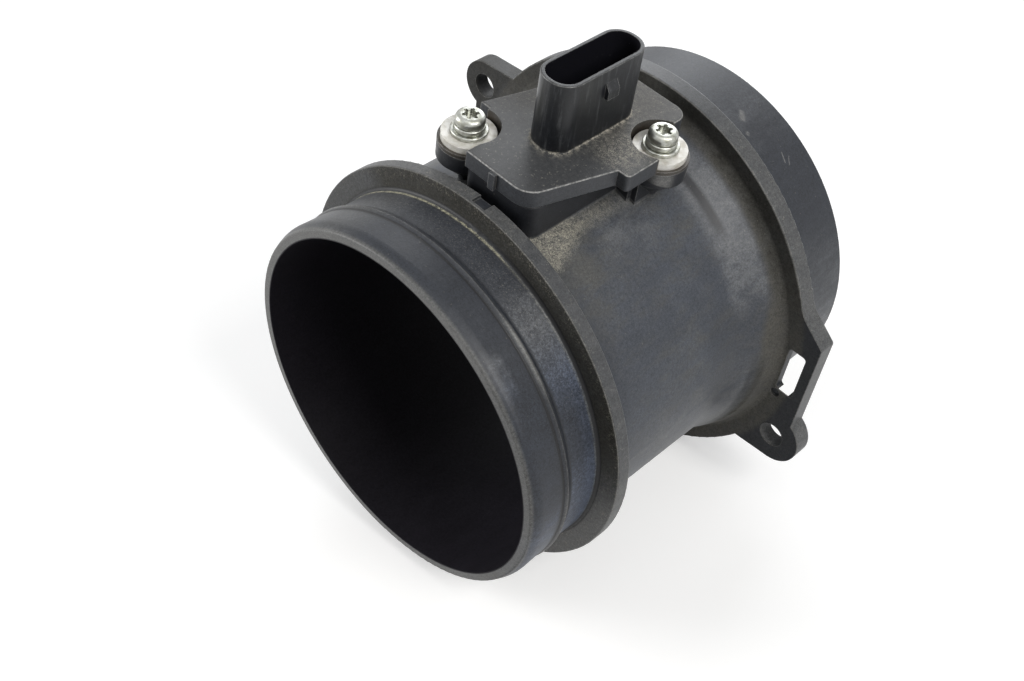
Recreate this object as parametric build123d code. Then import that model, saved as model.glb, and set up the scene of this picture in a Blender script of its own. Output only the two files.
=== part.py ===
from build123d import *
import math
import os

# A plug-in air mass meter: a moulded duct with a hose spigot at each end, a flange with two
# bolt ears, and a sensor module screwed on top whose vane hangs in the air stream.
# Frame: +Y runs along the duct from the hose mouth, +Z is up through the connector, and the
# origin is the centre of the mouth. Millimetres.

# Duct: walls and flange heights are measured outward from the bore, stations along Y
bore_radius = 46.0
duct_length = 115.9
mouth_land = 2.3
mouth_chamfer = 2.4
mouth_wall = 3.3
mouth_draft = 0.4
mouth_edge_radius = 0.5
mouth_knee_radius = 4.0
bead_start = 10.2
bead_crest = 1.0
bead_end = 2.7
bead_wall = 3.45
neck_wall = 2.4
front_flange_y = 22.2
front_flange_thickness = 3.9
front_flange_height = 8.6
flange_root_radius = 0.9
middle_wall = 2.1
flare_bend_y = 74.7
flare_bend_radius = 22.0
flare_knee_y = 80.4
flare_knee_wall = 4.9
flare_end_wall = 7.2
flare_root_radius = 1.5
rear_flange_y = 87.1
rear_flange_thickness = 5.2
rear_flange_height = 12.1
rear_spigot_wall = 3.9
rear_chamfer = 0.6
flange_edge_radius = 0.4

# Witness notch in the rim of the front flange
notch_width = 4.3
notch_offset = 0.45
notch_depth = 1.0
notch_length = 3.1

# Bolt ears of the rear flange, on a bolt circle whose centre lies a little beside the duct's
bolt_circle_radius = 63.06
bolt_circle_turn = -20.42
bolt_circle_x = -0.9
bolt_circle_z = -0.7
right_lobe_radius = 8.4
left_lobe_radius = 7.4
bolt_hole_radius = 3.6
bolt_relief_radius = 5.2
bolt_relief_depth = 0.6
ear_root_inset = 9.0
ear_root_drop = 0.8
ear_wall_reach = 3.4
ear_wall_top = 14.4
ear_shoulder_angle = 21.0
ear_shoulder_run = 5.0
ear_shoulder_radius = 10.0
ear_corner_radius = 1.2
ear_slot_rim = 2.9
ear_slot_width = 5.2
ear_slot_length = 15.1
ear_slot_z = 1.35
ear_slot_corner = 1.0
ear_pocket_side = 1.3
ear_pocket_end = 2.4
ear_pocket_depth = 2.6
ear_dimple_radius = 1.4
ear_dimple_depth = 0.7
ear_ramp_drop = 5.6
ear_dimple_x = 54.8
ear_dimple_drop = 1.8

# Sensor seat on the duct: pad, screw bosses and the opening for the neck
sensor_y = 50.6
pad_height = 10.7
pad_setback = 1.0
pad_half_width = 11.0
pad_corner = 4.0
pad_edge_radius = 0.5
web_reach = 3.6
web_overlap = 7.6
web_rib_width = 1.6
web_rib_overlap = 6.4
screw_x = 15.43
screw_offset_y = 15.84
boss_radius = 7.3
boss_straight = 4.0
boss_foot_radius = 1.5
opening_half_width = 8.5
opening_half_length = 14.0

# Sensor plate
ear_floor = 1.0
plate_thickness = 4.8
plate_front = 22.9
plate_back = 28.4
plate_front_left = 9.0
plate_front_right = 10.0
plate_front_corner = 5.5
plate_step_x = 16.6
plate_step_back = 0.4
tab_half_width = 19.8
tab_corner = 1.2
plate_edge_radius = 0.4
plate_foot_chamfer = 0.35
plate_back_right = 13.2
plate_back_left = 10.2
plate_back_corner = 3.8
plate_bend_x = 16.2
plate_bend_y = 4.3
wing_front = 8.1
wing_inner = 16.9
front_rib_width = 1.8
front_rib_height = 0.8
front_rib_offset = 0.1
front_rib_top_gap = 0.5

# Connector shroud
shroud_y = 55.6
shroud_half_width = 5.43
shroud_half_length = 14.3
shroud_corner = 5.1
shroud_height = 18.4
shroud_wall = 1.0
shroud_floor = 1.0
shroud_rim_radius = 0.3
catch_offset = 1.0
catch_length = 3.6
catch_top_gap = 3.5
catch_height = 4.1
catch_depth = 1.2
catch_lead = 2.0

# Neck and vane of the sensor body
neck_clearance = 0.15
groove_below_seat = 4.4
groove_width = 2.2
groove_depth = 1.6
seal_height = 1.9
seal_rounding = 0.5
vane_half_width = 6.0
vane_half_length = 13.0
vane_corner = 4.0
vane_tip = 6.0

# Bypass channel and electronics pocket inside the vane
cover_thickness = 1.2
cover_clearance = 0.1
cover_ledge = 1.2
cover_half_length = 8.6
channel_bottom = -2.6
channel_height = 19.0
channel_floor = 4.3
inlet_height = 8.0
inlet_half_width = 1.9
outlet_height = 5.0
island_height = 2.6
island_half_length = 4.4
island_gap = 9.4
partition = 3.0
pocket_height = 21.0
pocket_floor = 2.1

# Measuring electronics
carrier_thickness = 1.0
carrier_margin = 0.6
tongue_half_width = 2.0
tongue_reach = 7.6
board_thickness = 0.8
board_margin = 0.9
chip_size = 5.0
chip_thickness = 1.2
chip_above_board_foot = 3.0
capacitor_length = 1.6
capacitor_width = 0.9
capacitor_thickness = 0.8
capacitor_spacing = 4.6
capacitor_above_board_foot = 10.5
film_half_width = 1.1
film_length = 4.0
film_thickness = 0.5
film_tip_gap = 0.6

# Inlet air thermistor in the leading edge
window_half_width = 1.6
window_depth = 4.0
window_height = 9.0
window_above_partition = 4.0
bead_radius = 1.1
lead_radius = 0.25
lead_bite = 1.0

# Contact pins
pin_count = 5
pin_thickness = 0.6
pin_width = 1.3
pin_pitch = 4.0
pin_foot_pitch = 2.2
pin_tip_depth = 8.4
pin_bend_top = 3.0
pin_bend_height = 7.0
pin_board_lap = 1.8

# Screw stack: flanged sleeve, flat washer, split lock washer, screw and threaded insert
sleeve_flange_radius = 6.55
sleeve_flange_thickness = 1.64
sleeve_tube_radius = 4.0
sleeve_bore_radius = 2.25
washer_radius = 4.5
washer_thickness = 1.1
washer_bore_radius = 2.2
washer_rounding = 0.3
lock_radius = 3.75
lock_thickness = 1.35
lock_bore_radius = 2.15
lock_split = 0.7
head_radius = 3.55
head_height = 2.55
head_rounding = 1.25
head_foot_rounding = 0.45
shank_radius = 1.95
shank_length = 11.0
shank_chamfer = 0.5
socket_radius = 1.45
socket_lobe_radius = 0.46
socket_lobe_circle = 1.62
socket_lobes = 6
socket_depth = 1.5
insert_radius = 3.0
insert_length = 5.5
insert_recess = 0.4
thread_clearance = 0.05
boss_hole_spare = 0.5
press_clearance = 0.05

# Sizes that follow from the ones above
bolt_reach_x = bolt_circle_radius * math.cos(math.radians(bolt_circle_turn))
bolt_reach_z = bolt_circle_radius * math.sin(math.radians(bolt_circle_turn))
right_bolt = (bolt_circle_x + bolt_reach_x, bolt_circle_z + bolt_reach_z)
left_bolt_turned = (bolt_reach_x - bolt_circle_x, bolt_reach_z - bolt_circle_z)
ear_wall_x = bolt_reach_x + ear_wall_reach
pad_top = bore_radius + pad_height
ear_top = pad_top + ear_floor
plate_top = pad_top + plate_thickness
shroud_top = plate_top + shroud_height
rear_flange_back = rear_flange_y + rear_flange_thickness
plate_front_y = sensor_y - plate_front
plate_back_y = sensor_y + plate_back
plate_step_y = sensor_y - plate_step_back
screw_spots = {
    "front": (-screw_x, sensor_y - screw_offset_y),
    "rear": (screw_x, sensor_y + screw_offset_y),
}
web_half_width = pad_half_width + web_reach
pad_root = math.sqrt(bore_radius**2 - (web_half_width + web_rib_width) ** 2)
neck_half_width = opening_half_width - neck_clearance
neck_half_length = opening_half_length - neck_clearance
neck_bottom = math.sqrt(bore_radius**2 - opening_half_width**2)
groove_top = pad_top - groove_below_seat
vane_bottom = -vane_tip
channel_top = channel_bottom + channel_height
pocket_bottom = channel_top + partition
pocket_top = pocket_bottom + pocket_height
cover_face = vane_half_width
cover_seat = cover_face - cover_thickness
cavity_half_length = cover_half_length - cover_ledge
partition_middle = channel_top + partition / 2
carrier_face = carrier_thickness - pocket_floor
board_face = carrier_face + board_thickness
board_foot = pocket_bottom + board_margin
stack_top = ear_top + sleeve_flange_thickness + washer_thickness + lock_thickness


def rounded_box(half_width, half_length, corner, bottom, top, centre_y=sensor_y):
    """An upright block with rounded vertical edges, centred across the duct."""
    face = RectangleRounded(2 * half_width, 2 * half_length, corner)
    return Pos(0, centre_y, bottom) * extrude(face, top - bottom)


def stadium(half_width, half_length, bottom, top):
    """An upright block with fully round ends along the duct."""
    face = SlotOverall(2 * half_length, 2 * half_width, rotation=90)
    return Pos(0, sensor_y, bottom) * extrude(face, top - bottom)


def block(x_range, y_range, z_range):
    """A plain block between the given pairs of planes."""
    sizes = [high - low for low, high in (x_range, y_range, z_range)]
    lows = [low for low, high in (x_range, y_range, z_range)]
    return Pos(*lows) * Box(*sizes, align=(Align.MIN, Align.MIN, Align.MIN))


def cylinder(spot, radius, bottom, top):
    """An upright cylinder at a spot of the plan."""
    return Pos(spot[0], spot[1], bottom) * Cylinder(
        radius, top - bottom, align=(Align.CENTER, Align.CENTER, Align.MIN)
    )


def ring(spot, outer, inner, bottom, top):
    """An upright tube at a spot of the plan."""
    return cylinder(spot, outer, bottom, top) - cylinder(spot, inner, bottom, top)


def plan_extrusion(points, radii, bottom, top):
    """An upright solid over an outline in the plan, each corner with its own radius."""
    outline = FilletPolyline(*points, radius=radii, close=True)
    return Pos(0, 0, bottom) * extrude(make_face(outline), top - bottom)


def half_turned(solid):
    """The solid turned half round the upright line through the sensor's centre."""
    return solid.rotate(Axis((0, sensor_y, 0), (0, 0, 1)), 180)


def duct_wall():
    """The turned wall of the duct with its bead, flanges, flare and spigots."""
    neck = bore_radius + neck_wall
    middle = bore_radius + middle_wall
    front_rim = bore_radius + front_flange_height
    rear_rim = bore_radius + rear_flange_height
    rear = bore_radius + rear_spigot_wall
    corners = [
        (bore_radius, 0, 0),
        (bore_radius + mouth_land, 0, mouth_edge_radius),
        (bore_radius + mouth_wall, mouth_chamfer, mouth_knee_radius),
        (bore_radius + mouth_wall - mouth_draft, bead_start, 0),
        (bore_radius + bead_wall, bead_start + bead_crest, 0),
        (neck, bead_start + bead_end, 0),
        (neck, front_flange_y, flange_root_radius),
        (front_rim, front_flange_y, flange_edge_radius),
        (front_rim, front_flange_y + front_flange_thickness, flange_edge_radius),
        (middle, front_flange_y + front_flange_thickness, flange_root_radius),
        (middle, flare_bend_y, flare_bend_radius),
        (bore_radius + flare_knee_wall, flare_knee_y, 0),
        (bore_radius + flare_end_wall, rear_flange_y, flare_root_radius),
        (rear_rim, rear_flange_y, flange_edge_radius),
        (rear_rim, rear_flange_back, flange_edge_radius),
        (rear, rear_flange_back, flange_root_radius),
        (rear, duct_length - rear_chamfer, 0),
        (rear - rear_chamfer, duct_length, 0),
        (bore_radius, duct_length, 0),
    ]
    points = [(radius, station) for radius, station, rounding in corners]
    roundings = [rounding for radius, station, rounding in corners]
    profile = make_face(FilletPolyline(*points, radius=roundings, close=True))
    return revolve(profile, Axis.Y)


def through_flange(shape):
    """A prism through the rear flange from a sketch drawn in X and Z."""
    plane = Plane(origin=(0, rear_flange_y, 0), x_dir=(1, 0, 0), z_dir=(0, -1, 0))
    return extrude(plane * shape, -rear_flange_thickness)


def ear_plate(bolt, lobe_radius):
    """A bolt ear on the +X side, its root reaching into the flange disc."""
    bolt_x, bolt_z = bolt
    bottom = bolt_z - lobe_radius
    root_x = bolt_x - ear_root_inset
    rim = bore_radius + rear_flange_height
    inner_x = rim - 2 * rear_flange_height
    shoulder, above = [
        (rim * math.cos(math.radians(angle)), rim * math.sin(math.radians(angle)))
        for angle in (ear_shoulder_angle, ear_shoulder_angle + ear_shoulder_run)
    ]
    corners = [
        (inner_x, bottom - ear_root_drop, 0),
        (root_x, bottom - ear_root_drop, 0),
        (bolt_x, bottom, 0),
        (bolt_x, bolt_z, 0),
        (ear_wall_x, bolt_z, 0),
        (ear_wall_x, ear_wall_top, ear_corner_radius),
        (*shoulder, ear_shoulder_radius),
        (*above, 0),
        (inner_x, above[1], 0),
    ]
    points = [(x, z) for x, z, rounding in corners]
    roundings = [rounding for x, z, rounding in corners]
    web = make_face(FilletPolyline(*points, radius=roundings, close=True))
    lobe = Pos(bolt_x, bolt_z) * Circle(lobe_radius)
    return through_flange(web + lobe)


def across_slot(slot_x, width, points):
    """A prism across the slot of an ear from points in Y and Z."""
    side = Plane(origin=(slot_x - width / 2, 0, 0), x_dir=(0, 1, 0), z_dir=(1, 0, 0))
    return extrude(side * make_face(Polyline(*points, close=True)), width)


def ear_cuts(bolt):
    """The bolt hole, the slot and the dimple of one ear, and the hollows of its back face."""
    slot_x = ear_wall_x - ear_slot_rim - ear_slot_width / 2
    slot = RectangleRounded(ear_slot_width, ear_slot_length, ear_slot_corner)
    openings = through_flange(Pos(*bolt) * Circle(bolt_hole_radius))
    openings += through_flange(Pos(slot_x, ear_slot_z) * slot)
    pocket = RectangleRounded(
        ear_slot_width + 2 * ear_pocket_side, ear_slot_length + 2 * ear_pocket_end, ear_slot_corner
    )
    relief = through_flange(Pos(*bolt) * Circle(bolt_relief_radius))
    openings += Pos(0, rear_flange_thickness - bolt_relief_depth, 0) * relief
    back_pocket = through_flange(Pos(slot_x, ear_slot_z) * pocket)
    openings += Pos(0, rear_flange_thickness - ear_pocket_depth, 0) * back_pocket
    slot_foot = ear_slot_z - ear_slot_length / 2
    pocket_y = rear_flange_back - ear_pocket_depth
    pocket_drop = ear_ramp_drop * (pocket_y - rear_flange_y) / rear_flange_thickness
    ramp = [
        (rear_flange_y, slot_foot),
        (rear_flange_back, slot_foot),
        (rear_flange_back, slot_foot - ear_ramp_drop),
    ]
    wide_ramp = [(pocket_y, slot_foot), (pocket_y, slot_foot - pocket_drop), ramp[2], ramp[1]]
    openings += across_slot(slot_x, ear_slot_width, ramp)
    openings += across_slot(slot_x, ear_slot_width + 2 * ear_pocket_side, wide_ramp)
    dimple_z = slot_foot - ear_dimple_drop
    dimple = Pos(ear_dimple_x, rear_flange_y, dimple_z) * Rot(90, 0, 0)
    return openings + dimple * Cylinder(ear_dimple_radius, 2 * ear_dimple_depth)


def boss(spot):
    """A screw boss: a round head on a cone that stands on the duct wall."""
    cone_top = pad_top - boss_straight
    cone_height = boss_radius - boss_foot_radius
    seated = (Align.CENTER, Align.CENTER, Align.MIN)
    cone = Cone(boss_foot_radius, boss_radius, cone_height, align=seated)
    foot = cylinder(spot, boss_foot_radius, pad_root, cone_top - cone_height)
    head = cylinder(spot, boss_radius, cone_top, pad_top)
    return foot + Pos(spot[0], spot[1], cone_top - cone_height) * cone + head


def boss_web():
    """The web that ties the rear boss to the pad, with the rib on its outer edge."""
    spot_y = screw_spots["rear"][1]
    web = block((0, web_half_width), (spot_y - web_overlap, spot_y), (pad_root, pad_top))
    rib_range = (web_half_width, web_half_width + web_rib_width)
    return web + block(rib_range, (spot_y - web_rib_overlap, spot_y), (pad_root, pad_top))


def sensor_pad():
    """The raised pad under the sensor plate with its two webs and bosses."""
    front = plate_front_y + pad_setback
    back = plate_back_y - pad_setback
    middle = (front + back) / 2
    pad = rounded_box(pad_half_width, (back - front) / 2, pad_corner, pad_root, pad_top, middle)
    pad = fillet(pad.edges().group_by(Axis.Z)[-1], pad_edge_radius)
    pad += boss_web() + half_turned(boss_web())
    for spot in screw_spots.values():
        pad += boss(spot)
    return pad


def housing_tube():
    """The moulded duct with its flanges, ears, sensor seat and screw bosses."""
    body = duct_wall()
    body += ear_plate(right_bolt, right_lobe_radius)
    body += ear_plate(left_bolt_turned, left_lobe_radius).rotate(Axis.Y, 180)
    body += sensor_pad()
    seated = (Align.CENTER, Align.CENTER, Align.MIN)
    body -= Rot(-90, 0, 0) * Cylinder(bore_radius, duct_length, align=seated)
    body -= ear_cuts(right_bolt)
    body -= ear_cuts(left_bolt_turned).rotate(Axis.Y, 180)
    body -= stadium(opening_half_width, opening_half_length, 0, pad_top)
    hole_depth = insert_length + insert_recess + boss_hole_spare
    for spot in screw_spots.values():
        body -= cylinder(spot, insert_radius, pad_top - hole_depth, pad_top)
    rim = bore_radius + front_flange_height
    flange_back = front_flange_y + front_flange_thickness
    body -= block(
        (notch_offset - notch_width / 2, notch_offset + notch_width / 2),
        (flange_back - notch_length, flange_back),
        (rim - notch_depth, rim),
    )
    return body


def plate_outline():
    """Corners of the sensor plate in the plan, each with its rounding."""
    front_x, front_y = screw_spots["front"]
    rear_x, rear_y = screw_spots["rear"]
    return [
        (-plate_front_left, plate_front_y, 0),
        (plate_front_right, plate_front_y, plate_front_corner),
        (plate_step_x, plate_step_y, 0),
        (tab_half_width, plate_step_y, tab_corner),
        (tab_half_width, rear_y, 0),
        (plate_back_right, rear_y, 0),
        (plate_back_right, plate_back_y, plate_back_corner),
        (-plate_back_left, plate_back_y, plate_back_corner),
        (-plate_bend_x, sensor_y + plate_bend_y, 0),
        (-tab_half_width, sensor_y - wing_front, 0),
        (-wing_inner, sensor_y - wing_front, 0),
        (-wing_inner, front_y, 0),
        (-plate_front_left, front_y, 0),
    ]


def sensor_plate():
    """The plate with a thin round ear under each screw and a round recess above it."""
    corners = plate_outline()
    points = [(x, y) for x, y, rounding in corners]
    roundings = [rounding for x, y, rounding in corners]
    plate = plan_extrusion(points, roundings, pad_top, plate_top)
    plate = fillet(plate.edges().group_by(Axis.Z)[-1], plate_edge_radius)
    plate = chamfer(plate.edges().group_by(Axis.Z)[0], plate_foot_chamfer)
    for spot in screw_spots.values():
        plate += cylinder(spot, boss_radius, pad_top, ear_top)
        plate -= cylinder(spot, boss_radius, ear_top, plate_top)
        plate -= cylinder(spot, sleeve_tube_radius + press_clearance, pad_top, ear_top)
    plate += block(
        (-front_rib_offset - front_rib_width / 2, -front_rib_offset + front_rib_width / 2),
        (plate_front_y - front_rib_height, plate_front_y),
        (pad_top, plate_top - front_rib_top_gap),
    )
    return plate


def connector_shroud():
    """The socket of the plug with the catch that the plug snaps over."""
    shell = rounded_box(
        shroud_half_width, shroud_half_length, shroud_corner, plate_top, shroud_top, shroud_y
    )
    shell = fillet(shell.edges().group_by(Axis.Z)[-1], shroud_rim_radius)
    catch_top = shroud_top - catch_top_gap
    profile = [
        (shroud_half_width, catch_top),
        (shroud_half_width + catch_depth, catch_top - catch_lead),
        (shroud_half_width + catch_depth, catch_top - catch_height),
        (shroud_half_width, catch_top - catch_height),
    ]
    catch_start = shroud_y + catch_offset - catch_length / 2
    side = Plane(origin=(0, catch_start, 0), x_dir=(1, 0, 0), z_dir=(0, -1, 0))
    shell += extrude(side * make_face(Polyline(*profile, close=True)), -catch_length)
    return shell


def shroud_cavity():
    """The hollow of the socket."""
    return rounded_box(
        shroud_half_width - shroud_wall,
        shroud_half_length - shroud_wall,
        shroud_corner - shroud_wall,
        plate_top + shroud_floor,
        shroud_top,
        shroud_y,
    )


def neck_and_vane():
    """The neck with its seal groove, and the vane that hangs in the duct."""
    column = stadium(neck_half_width, neck_half_length, neck_bottom, pad_top)
    groove = stadium(neck_half_width, neck_half_length, groove_top - groove_width, groove_top)
    groove -= stadium(
        neck_half_width - groove_depth,
        neck_half_length - groove_depth,
        groove_top - groove_width,
        groove_top,
    )
    column -= groove
    return column + rounded_box(vane_half_width, vane_half_length, vane_corner, vane_bottom, neck_bottom)


def along(half_length):
    """The range along the duct centred on the vane."""
    return (sensor_y - half_length, sensor_y + half_length)


def vane_hollows():
    """The bypass channel round its island, the electronics pocket and the cover seats."""
    channel = block((-channel_floor, cover_seat), along(cavity_half_length), (channel_bottom, channel_top))
    island_bottom = channel_bottom + island_gap
    channel -= block(
        (-channel_floor, cover_seat),
        along(island_half_length),
        (island_bottom, island_bottom + island_height),
    )
    front = (sensor_y - vane_half_length, sensor_y - cavity_half_length)
    rear = (sensor_y + cavity_half_length, sensor_y + vane_half_length)
    mouth = (-inlet_half_width, inlet_half_width)
    channel += block(mouth, front, (channel_bottom, channel_bottom + inlet_height))
    channel += block(mouth, rear, (channel_bottom, channel_bottom + outlet_height))
    pocket = block((-pocket_floor, cover_seat), along(cavity_half_length), (pocket_bottom, pocket_top))
    passage = block((-pocket_floor, cover_seat), along(tongue_half_width), (channel_top, pocket_bottom))
    seat = block(
        (cover_seat, cover_face),
        along(cover_half_length + cover_clearance),
        (channel_bottom - cover_ledge, pocket_top + cover_ledge),
    )
    return channel + pocket + passage + seat


def leading_window():
    """The window in the leading edge in which the thermistor sits."""
    bottom = pocket_bottom + window_above_partition
    front = sensor_y - vane_half_length
    return block(
        (-window_half_width, window_half_width),
        (front, front + window_depth),
        (bottom, bottom + window_height),
    )


def air_temperature_probe():
    """The thermistor bead on its upright lead."""
    bottom = pocket_bottom + window_above_partition
    spot = (0, sensor_y - vane_half_length + window_depth / 2)
    lead = cylinder(spot, lead_radius, bottom - lead_bite, bottom + window_height + lead_bite)
    return lead + Pos(spot[0], spot[1], bottom + window_height / 2) * Sphere(bead_radius)


def contact_pin(index):
    """A flat pin that jogs from the socket's row to its pad on the board."""
    place = index - (pin_count - 1) / 2
    head_y = shroud_y + place * pin_pitch
    foot_y = sensor_y + place * pin_foot_pitch
    bend_top = plate_top - pin_bend_top
    bend_bottom = bend_top - pin_bend_height
    foot = pocket_top - board_margin - pin_board_lap
    half = pin_width / 2
    outline = [
        (head_y - half, shroud_top - pin_tip_depth),
        (head_y - half, bend_top),
        (foot_y - half, bend_bottom),
        (foot_y - half, foot),
        (foot_y + half, foot),
        (foot_y + half, bend_bottom),
        (head_y + half, bend_top),
        (head_y + half, shroud_top - pin_tip_depth),
    ]
    strip = extrude(Plane.YZ * make_face(Polyline(*outline, close=True)), pin_thickness)
    return Pos(board_face, 0, 0) * strip


def sensor_body():
    """The moulding of plate, socket, neck and vane, formed round the contact pins."""
    body = sensor_plate() + connector_shroud() + neck_and_vane()
    body -= shroud_cavity()
    body -= vane_hollows()
    body -= leading_window()
    body -= air_temperature_probe()
    for index in range(pin_count):
        body -= contact_pin(index)
    return body


def channel_cover():
    """The cover of the bypass channel."""
    bottom = channel_bottom - cover_ledge + cover_clearance
    top = partition_middle - cover_clearance
    return block((cover_seat, cover_face), along(cover_half_length), (bottom, top))


def circuit_cover():
    """The cover of the electronics pocket, with a nose that closes the tongue's passage."""
    bottom = partition_middle + cover_clearance
    top = pocket_top + cover_ledge - cover_clearance
    lid = block((cover_seat, cover_face), along(cover_half_length), (bottom, top))
    nose = block(
        (carrier_face + cover_clearance, cover_seat),
        along(tongue_half_width - cover_clearance),
        (bottom, pocket_bottom),
    )
    return lid + nose


def carrier_plate():
    """The metal carrier, its tongue holding the measuring chip in the channel."""
    plate = block(
        (-pocket_floor, carrier_face),
        along(cavity_half_length - carrier_margin),
        (pocket_bottom, pocket_top - carrier_margin),
    )
    tongue = block(
        (-pocket_floor, carrier_face),
        along(tongue_half_width - cover_clearance),
        (pocket_bottom - tongue_reach, pocket_bottom),
    )
    return plate + tongue


def circuit_board():
    """The evaluation circuit on the carrier."""
    return block(
        (carrier_face, board_face),
        along(cavity_half_length - board_margin),
        (board_foot, pocket_top - board_margin),
    )


def signal_chip():
    """The signal processor on the board."""
    bottom = board_foot + chip_above_board_foot
    across = (board_face, board_face + chip_thickness)
    return block(across, along(chip_size / 2), (bottom, bottom + chip_size))


def filter_capacitor(side):
    """A filter capacitor on the board, on one side of the middle."""
    middle = sensor_y + side * capacitor_spacing
    bottom = board_foot + capacitor_above_board_foot
    return block(
        (board_face, board_face + capacitor_thickness),
        (middle - capacitor_width / 2, middle + capacitor_width / 2),
        (bottom, bottom + capacitor_length),
    )


def sensing_chip():
    """The heated film chip near the tip of the tongue."""
    bottom = pocket_bottom - tongue_reach + film_tip_gap
    across = (carrier_face, carrier_face + film_thickness)
    return block(across, along(film_half_width), (bottom, bottom + film_length))


def neck_seal():
    """The rubber ring pressed between the groove of the neck and the opening."""
    middle = groove_top - groove_width / 2
    bottom = middle - seal_height / 2
    top = middle + seal_height / 2
    outer = stadium(opening_half_width, opening_half_length, bottom, top)
    inner = stadium(neck_half_width - groove_depth, neck_half_length - groove_depth, bottom, top)
    seal = outer - inner
    rims = seal.edges().filter_by(lambda edge: abs(edge.center().Z - middle) > seal_height / 4)
    return fillet(rims, seal_rounding)


def mounting_sleeve(spot):
    """The flanged metal sleeve that carries the clamp load past the plate."""
    flange_top = ear_top + sleeve_flange_thickness
    sleeve = cylinder(spot, sleeve_flange_radius, ear_top, flange_top)
    sleeve += cylinder(spot, sleeve_tube_radius, pad_top, ear_top)
    return sleeve - cylinder(spot, sleeve_bore_radius, pad_top, flange_top)


def outer_edges_rounded(washer, radius, rounding):
    """A washer with the two edges of its rim rounded."""
    circles = washer.edges().filter_by(GeomType.CIRCLE)
    rim = circles.filter_by(lambda edge: edge.radius > radius - rounding)
    return fillet(rim, rounding)


def flat_washer(spot):
    """The flat washer on the sleeve."""
    bottom = ear_top + sleeve_flange_thickness
    washer = ring(spot, washer_radius, washer_bore_radius, bottom, bottom + washer_thickness)
    return outer_edges_rounded(washer, washer_radius, washer_rounding)


def lock_washer(spot):
    """The split spring washer under the screw head."""
    bottom = stack_top - lock_thickness
    washer = ring(spot, lock_radius, lock_bore_radius, bottom, stack_top)
    washer = outer_edges_rounded(washer, lock_radius, washer_rounding)
    split = block(
        (spot[0] - lock_split / 2, spot[0] + lock_split / 2),
        (spot[1], spot[1] + lock_radius),
        (bottom, stack_top),
    )
    return washer - split


def screw(spot):
    """A round-topped cylinder-head screw with a six-lobed socket."""
    head_top = stack_top + head_height
    head = cylinder(spot, head_radius, stack_top, head_top)
    head = fillet(head.edges().filter_by(GeomType.CIRCLE).group_by(Axis.Z)[-1], head_rounding)
    head = fillet(head.edges().filter_by(GeomType.CIRCLE).group_by(Axis.Z)[0], head_foot_rounding)
    shank = cylinder(spot, shank_radius, stack_top - shank_length, stack_top)
    shank = chamfer(shank.edges().filter_by(GeomType.CIRCLE).group_by(Axis.Z)[0], shank_chamfer)
    socket = cylinder(spot, socket_radius, head_top - socket_depth, head_top)
    for lobe in range(socket_lobes):
        angle = math.radians(360 * lobe / socket_lobes)
        lobe_spot = (
            spot[0] + socket_lobe_circle * math.cos(angle),
            spot[1] + socket_lobe_circle * math.sin(angle),
        )
        socket += cylinder(lobe_spot, socket_lobe_radius, head_top - socket_depth, head_top)
    return head + shank - socket


def thread_insert(spot):
    """The brass threaded insert moulded into the boss."""
    top = pad_top - insert_recess
    return ring(spot, insert_radius, shank_radius + thread_clearance, top - insert_length, top)


def write_node(name, solid):
    """One STEP file for one node."""
    export_step(solid, "parts/" + name + ".step")


write_node("housing_tube", housing_tube())
write_node("sensor_body", sensor_body())
write_node("channel_cover", channel_cover())
write_node("circuit_cover", circuit_cover())
write_node("carrier_plate", carrier_plate())
write_node("circuit_board", circuit_board())
write_node("signal_chip", signal_chip())
write_node("filter_capacitor_front", filter_capacitor(-1))
write_node("filter_capacitor_rear", filter_capacitor(1))
write_node("sensing_chip", sensing_chip())
write_node("air_temperature_probe", air_temperature_probe())
write_node("neck_seal", neck_seal())
for index in range(pin_count):
    write_node("contact_pin_" + str(index + 1), contact_pin(index))
for name, spot in screw_spots.items():
    write_node("mounting_sleeve_" + name, mounting_sleeve(spot))
    write_node("flat_washer_" + name, flat_washer(spot))
    write_node("lock_washer_" + name, lock_washer(spot))
    write_node("sensor_screw_" + name, screw(spot))
    write_node("thread_insert_" + name, thread_insert(spot))
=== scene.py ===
import math
from types import SimpleNamespace

import bmesh
import bpy
from mathutils import Matrix, Vector

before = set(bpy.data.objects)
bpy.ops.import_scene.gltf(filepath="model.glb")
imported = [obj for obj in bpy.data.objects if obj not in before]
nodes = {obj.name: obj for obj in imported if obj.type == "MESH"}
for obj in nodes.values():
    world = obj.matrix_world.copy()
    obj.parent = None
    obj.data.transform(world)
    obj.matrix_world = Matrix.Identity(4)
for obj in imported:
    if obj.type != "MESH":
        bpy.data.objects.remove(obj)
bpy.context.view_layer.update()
print("loaded", len(nodes), "pieces")


# Camera, floor and lamps

cameraSetup = {
    "place": (0.1485, -0.1415, 0.2516),
    "right": (0.6971, 0.7090, 0.1065),
    "up": (-0.5766, 0.4662, 0.6709),
    "lens": 46.95,
    "sensor": 36,
    "nearest": 0.01,
}


def turned(right, up, place):  # a matrix from the right and up directions
    side = Vector(right).normalized()
    back = side.cross(Vector(up)).normalized()
    top = back.cross(side)
    matrix = Matrix((side, top, back)).transposed().to_4x4()
    matrix.translation = Vector(place)
    return matrix


def makeCamera(setup):
    data = bpy.data.cameras.new("camera")
    data.lens = setup["lens"]
    data.sensor_width = setup["sensor"]
    data.clip_start = setup["nearest"]
    camera = bpy.data.objects.new("camera", data)
    camera.matrix_world = turned(setup["right"], setup["up"], setup["place"])
    bpy.context.scene.collection.objects.link(camera)
    bpy.context.scene.camera = camera


makeCamera(cameraSetup)

floorSetup = {
    "roll": 11.7,  # how far the duct lies rolled on the floor, in degrees
    "frontRim": (0.0546, 0.0222),  # radius and place along the duct of the two rims it lies on
    "rearRim": (0.0581, 0.0871),
    "radius": 0.6,
    "sides": 64,
}


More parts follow.
